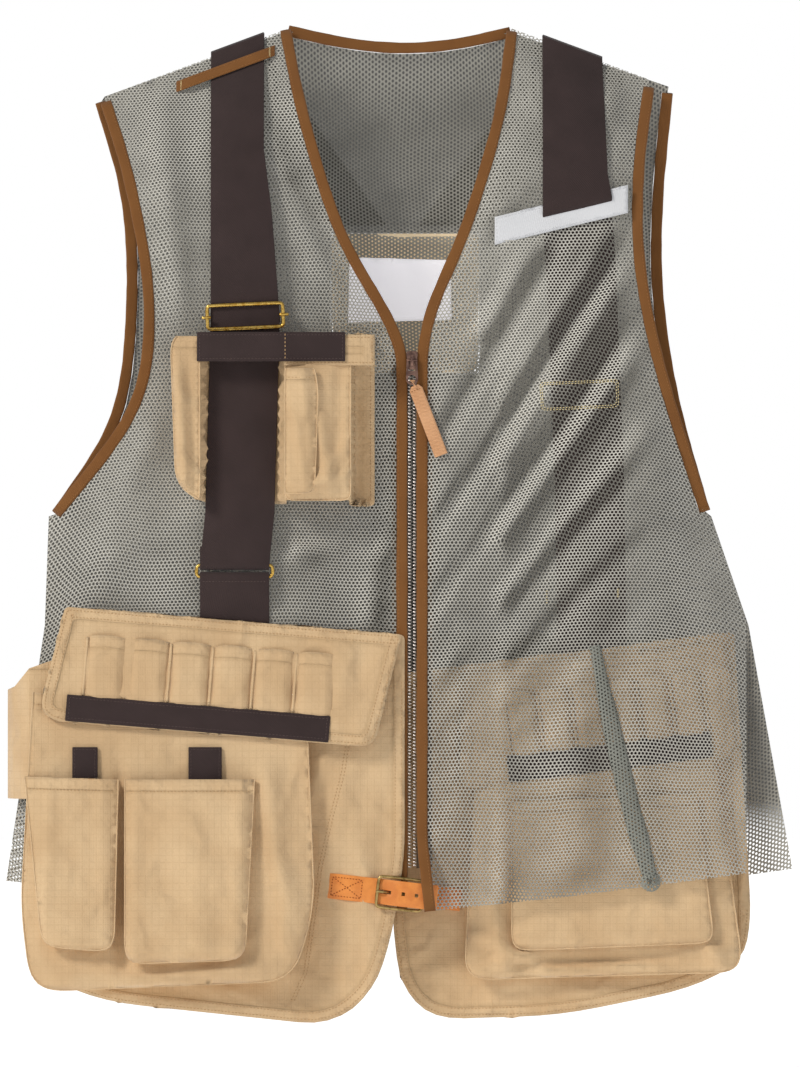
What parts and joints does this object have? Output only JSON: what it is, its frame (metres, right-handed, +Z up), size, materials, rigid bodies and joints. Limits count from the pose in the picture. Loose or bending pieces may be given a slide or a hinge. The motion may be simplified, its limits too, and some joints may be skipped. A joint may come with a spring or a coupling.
{
  "type": "fishing vest",
  "caption": "Sport-mesh waistcoat with cloth-bound edges and a metal zip over webbing shoulder straps, ripstop waist panels, bellows pockets, tool loops and a chest pouch.",
  "frame": {"origin": "the point under the middle of the back-neck binding, on the centre plane between front and back, where a peg or a hanger's neck holds the vest", "axes": "+Z up as worn, front towards -Y, +X towards the wearer's left, which is the viewer's right"},
  "size_m": [0.591, 0.1264, 0.7487],
  "materials": {
    "sport_mesh": "warp-knit polyester mesh with small round holes",
    "binding_cloth": "folded plain-weave cotton binding, stitched",
    "webbing": "heavy twill webbing",
    "ripstop": "ripstop cotton, double layer at the edges",
    "brass": "polished wire",
    "antique_brass": "antiqued cast wire",
    "leather": "vegetable-tanned strap leather",
    "grosgrain": "ribbed grosgrain ribbon",
    "bronzed_metal": "bronzed slider metal",
    "zip_metal": "zip teeth",
    "zip_tape": "woven zip tape",
    "white_tape": "woven tape sewn round the slit",
    "label_cloth": "plain printed-cloth label with nothing on it"
  },
  "bodies": {
    "vest": {"binding_neck_back": "binding_cloth", "binding_armhole_right_back": "binding_cloth", "binding_armhole_left_back": "binding_cloth", "binding_front_right": "binding_cloth", "binding_armhole_right_front": "binding_cloth", "binding_front_left": "binding_cloth", "binding_armhole_left_front": "binding_cloth", "mesh_back": "sport_mesh", "mesh_front_right": "sport_mesh", "mesh_front_left": "sport_mesh", "slit_tape": "white_tape", "zip_teeth_right": "zip_metal", "zip_tape_right": "zip_tape", "zip_teeth_left": "zip_metal", "zip_tape_left": "zip_tape", "strap_right": "webbing", "strap_left": "webbing", "shoulder_tape_right": "binding_cloth", "shoulder_tape_left": "binding_cloth", "strap_ring": "brass", "ring_tab": "webbing", "panel_right": "ripstop", "pocket_big_right": "ripstop", "pocket_small_right_outer": "ripstop", "pocket_small_right_inner": "ripstop", "pull_tab_right_outer": "webbing", "pull_tab_right_inner": "webbing", "side_wing_right": "ripstop", "panel_left": "ripstop", "pocket_big_left": "ripstop", "pocket_small_left": "ripstop", "flap_left": "ripstop", "tool_loops_left": "ripstop", "flap_band_left": "webbing", "leather_strap": "leather", "buckle_frame": "antique_brass", "buckle_chape": "leather", "back_patch": "ripstop", "care_label": "label_cloth", "strap_back": "webbing", "rear_panel": "ripstop"},
    "slider": {"zip_slider": "bronzed_metal"},
    "pull": {"zip_pull": "bronzed_metal"},
    "ribbon": {"zip_ribbon": "grosgrain"},
    "adjuster": {"adjuster_frame": "brass", "adjuster_bar": "brass"},
    "pouch": {"pouch_body": "ripstop", "pouch_front_pocket": "ripstop", "pouch_flap_strip": "ripstop", "pouch_keeper": "webbing"},
    "flap": {"flap_right": "ripstop", "tool_loops_right": "ripstop", "flap_band_right": "webbing"},
    "prong": {"buckle_prong": "antique_brass"}
  },
  "joints": [
    {"name": "zip_slide", "type": "slide", "parent": "vest", "child": "slider", "axis": [0, 0, -1], "range_m": [0, 0.28]},
    {"name": "pull_swing", "type": "hinge", "parent": "slider", "child": "pull", "pos_m": [0.009, -0.04595, -0.231], "axis": [-1, 0, 0], "range_deg": [0, 150]},
    {"name": "ribbon_swing", "type": "hinge", "parent": "pull", "child": "ribbon", "pos_m": [0.009, -0.04595, -0.245], "axis": [0, 1, 0], "range_deg": [-40, 20]},
    {"name": "adjuster_slide", "type": "slide", "parent": "vest", "child": "adjuster", "axis": [0, 0, 1], "range_m": [0, 0.06]},
    {"name": "pouch_slide", "type": "slide", "parent": "vest", "child": "pouch", "axis": [0, 0, -1], "range_m": [0, 0.028]},
    {"name": "flap_lift", "type": "hinge", "parent": "vest", "child": "flap", "pos_m": [-0.251, -0.04505, -0.416], "axis": [-0.9966, 0, 0.0822], "range_deg": [0, 110]},
    {"name": "prong_play", "type": "hinge", "parent": "vest", "child": "prong", "pos_m": [0.01699, -0.04865, -0.63294], "axis": [0.1132, 0, 0.9936], "range_deg": [0, 2]}
  ]
}
